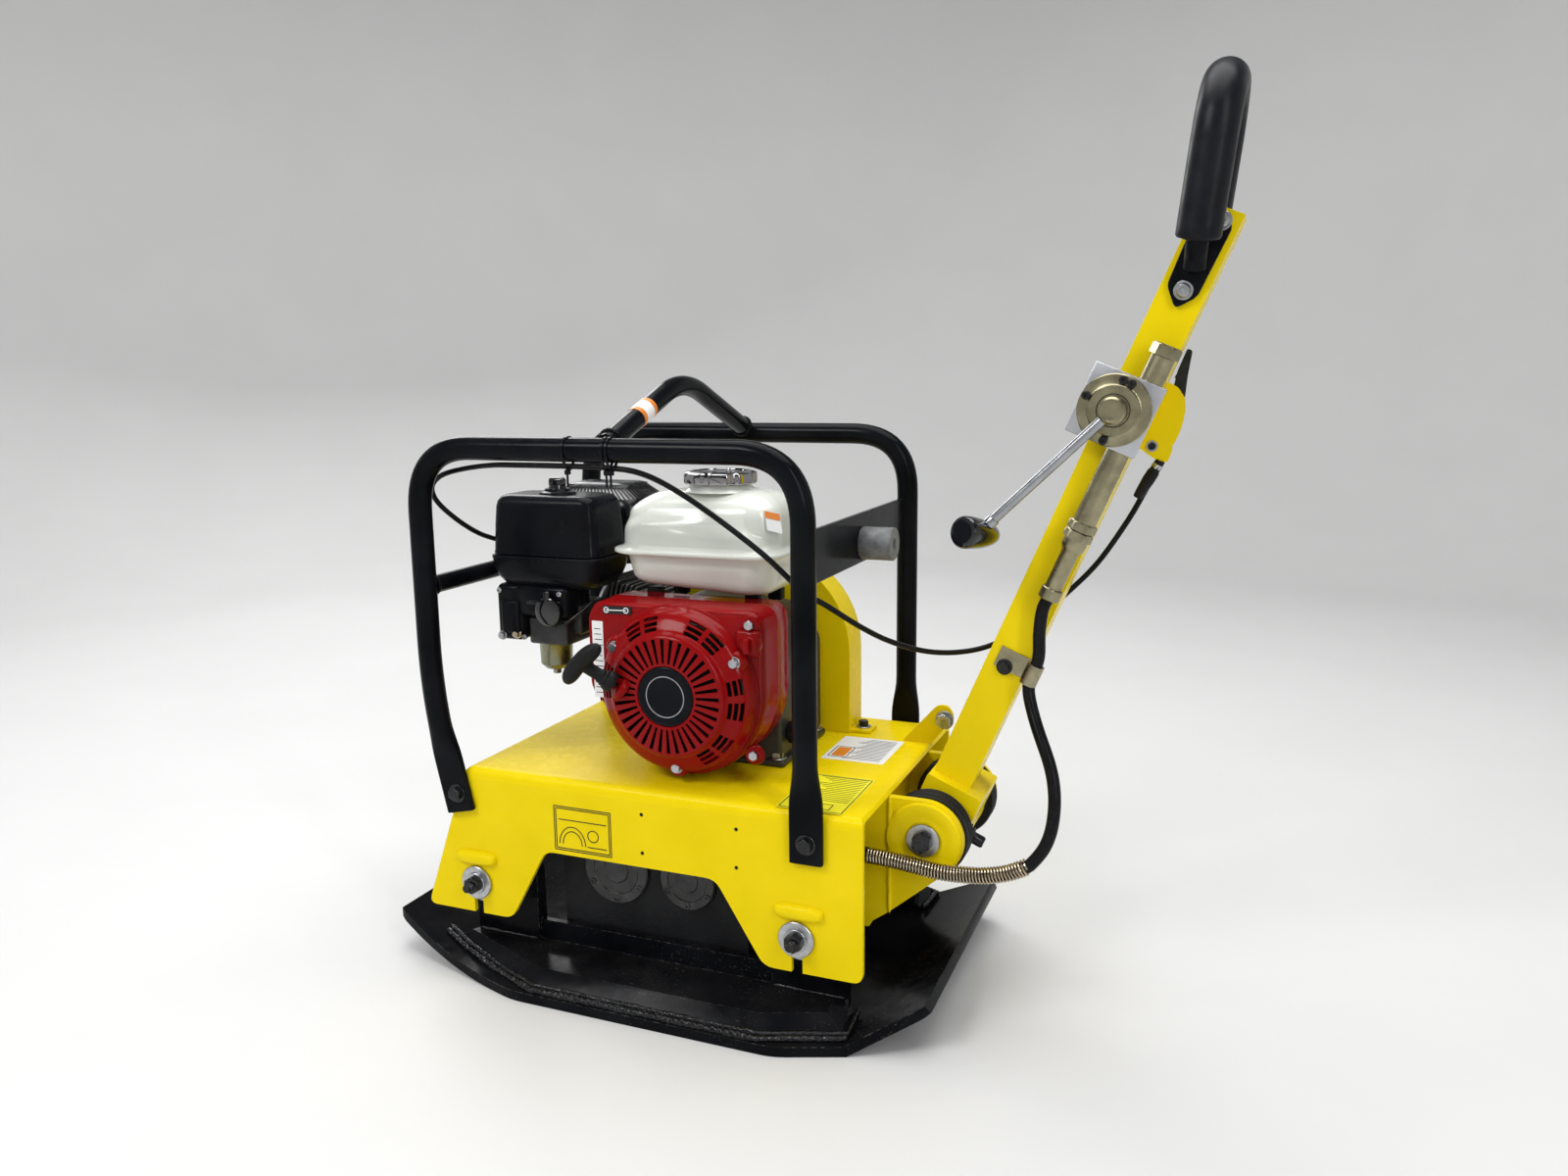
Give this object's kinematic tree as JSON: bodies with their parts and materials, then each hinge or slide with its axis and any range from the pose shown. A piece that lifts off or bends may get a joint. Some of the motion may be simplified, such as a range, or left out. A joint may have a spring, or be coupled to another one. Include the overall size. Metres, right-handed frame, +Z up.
{
  "type": "plate compactor",
  "caption": "Reversible plate compactor: curved base plate, exciter, sprung deck with petrol engine, tube cage and folding pole handle with travel lever.",
  "frame": {"origin": "centre of the base plate underside", "axes": "+X rearwards to the operator, -Y the recoil starter side, +Z up"},
  "size_m": [0.971, 0.47, 1.0254],
  "materials": {
    "yellow_paint": "gloss yellow paint",
    "black_paint": "gloss black paint",
    "red_paint": "gloss red enamel",
    "tank_paint": "gloss off-white enamel",
    "cast_alloy": "as cast",
    "zinc": "zinc plated",
    "passivated": "olive passivated zinc",
    "machined_steel": "machined",
    "cast_iron": "black painted casting",
    "rubber": "moulded rubber",
    "foam": "closed cell foam",
    "hose": "smooth hose cover",
    "black_plastic": "moulded plastic",
    "knob_plastic": "gloss moulded",
    "red_plastic": "moulded",
    "chrome": "bright plated",
    "muffler_steel": "heat resistant matt paint",
    "grey_rubber": "moulded rubber"
  },
  "bodies": {
    "machine": {"base_plate": "black_paint", "side_frame_left": "black_paint", "side_frame_right": "black_paint", "cage_hoop_left": "black_paint", "cage_hoop_right": "black_paint", "lifting_arch": "black_paint", "front_crossbar": "black_paint", "rear_cross_plate": "black_paint", "exciter_housing": "cast_iron", "exciter_cover_front": "cast_iron", "exciter_cover_rear": "cast_iron", "v_belt": "rubber", "rubber_mount_front_left": "rubber", "rubber_mount_front_right": "rubber", "rubber_mount_rear_left": "rubber", "rubber_mount_rear_right": "rubber", "pivot_rubber_left": "rubber", "pivot_rubber_right": "rubber", "mount_bolt_front_left": "zinc", "mount_bolt_front_right": "zinc", "mount_bolt_rear_left": "zinc", "mount_bolt_rear_right": "zinc", "pivot_bolt": "zinc", "deck_cover": "yellow_paint", "belt_cover": "yellow_paint", "handle_bracket": "yellow_paint", "handle_buffer": "grey_rubber", "crankcase": "cast_alloy", "cylinder_head": "cast_alloy", "carburettor": "cast_alloy", "fan_housing": "red_paint", "recoil_cover": "red_paint", "fuel_tank": "tank_paint", "air_cleaner_base": "black_plastic", "air_cleaner_cover": "black_plastic", "muffler": "muffler_steel", "hydraulic_pipe": "passivated", "spring_guard": "passivated", "throttle_cable": "hose"},
    "handle": {"handle_pole": "yellow_paint", "grip_frame": "black_paint", "grip_foam": "foam", "control_body": "passivated", "throttle_bracket": "yellow_paint", "hose_clamp": "passivated", "hydraulic_hose": "hose"},
    "travel_control": {"travel_lever": "zinc", "travel_knob": "knob_plastic"},
    "rack": {"rack_piston": "machined_steel"},
    "throttle": {"throttle_lever": "black_plastic"},
    "exciter_front": {"eccentric_shaft_front": "machined_steel"},
    "exciter_rear": {"eccentric_shaft_rear": "machined_steel", "exciter_pulley": "machined_steel"},
    "crank": {"crankshaft": "machined_steel", "clutch_pulley": "machined_steel"},
    "recoil": {"recoil_grip": "rubber"},
    "cap": {"fuel_cap": "chrome"},
    "cleaner_knob": {"air_cleaner_knob": "black_plastic"},
    "switch": {"engine_switch": "red_plastic"},
    "choke": {"choke_lever": "black_plastic"}
  },
  "joints": [
    {"name": "handle_tilt", "type": "hinge", "parent": "machine", "child": "handle", "pos_m": [0.32, 0, 0.211], "axis": [0, 1, 0], "range_deg": [-20, 35], "deforming": ["hydraulic_hose", "throttle_cable"]},
    {"name": "travel_lever_swing", "type": "hinge", "parent": "handle", "child": "travel_control", "pos_m": [0.50593, -0.08, 0.6861], "axis": [0, 1, 0], "range_deg": [-12, 50]},
    {"name": "rack_travel", "type": "slide", "parent": "handle", "child": "rack", "axis": [0.3891, 0, 0.9212], "range_m": [-0.012, 0.012]},
    {"name": "throttle_swing", "type": "hinge", "parent": "handle", "child": "throttle", "pos_m": [0.5593, 0.01, 0.67984], "axis": [0, 1, 0], "range_deg": [0, 40]},
    {"name": "exciter_rear_spin", "type": "hinge", "parent": "machine", "child": "exciter_rear", "pos_m": [0.047, 0, 0.138], "axis": [0, 1, 0], "continuous": true},
    {"name": "exciter_front_spin", "type": "hinge", "parent": "machine", "child": "exciter_front", "pos_m": [-0.049, 0, 0.138], "axis": [0, 1, 0], "continuous": true},
    {"name": "crank_spin", "type": "hinge", "parent": "machine", "child": "crank", "pos_m": [0.042, 0, 0.371], "axis": [0, 1, 0], "continuous": true},
    {"name": "recoil_pull", "type": "slide", "parent": "machine", "child": "recoil", "axis": [-0.6186, -0.5089, 0.5987], "range_m": [0, 0.45], "stiffness_N_per_m": 20},
    {"name": "fuel_cap_turn", "type": "hinge", "parent": "machine", "child": "cap", "pos_m": [0.046, -0.02, 0.6], "axis": [0, 0, 1], "range_deg": [0, 90]},
    {"name": "cleaner_knob_turn", "type": "hinge", "parent": "machine", "child": "cleaner_knob", "pos_m": [-0.1675, -0.045, 0.59], "axis": [0, 0, 1], "continuous": true},
    {"name": "switch_turn", "type": "hinge", "parent": "machine", "child": "switch", "pos_m": [0.134, -0.145, 0.432], "axis": [0, 1, 0], "range_deg": [0, 60]},
    {"name": "choke_swing", "type": "hinge", "parent": "machine", "child": "choke", "pos_m": [-0.16, -0.082, 0.44], "axis": [0, 1, 0], "range_deg": [-60, 0]}
  ],
  "couplings": [
    {"joint": "exciter_front_spin", "follows": "exciter_rear_spin", "ratio": -1},
    {"joint": "crank_spin", "follows": "exciter_rear_spin", "ratio": 1.4},
    {"joint": "rack_travel", "follows": "travel_lever_swing", "m_per_rad": 0.012}
  ]
}
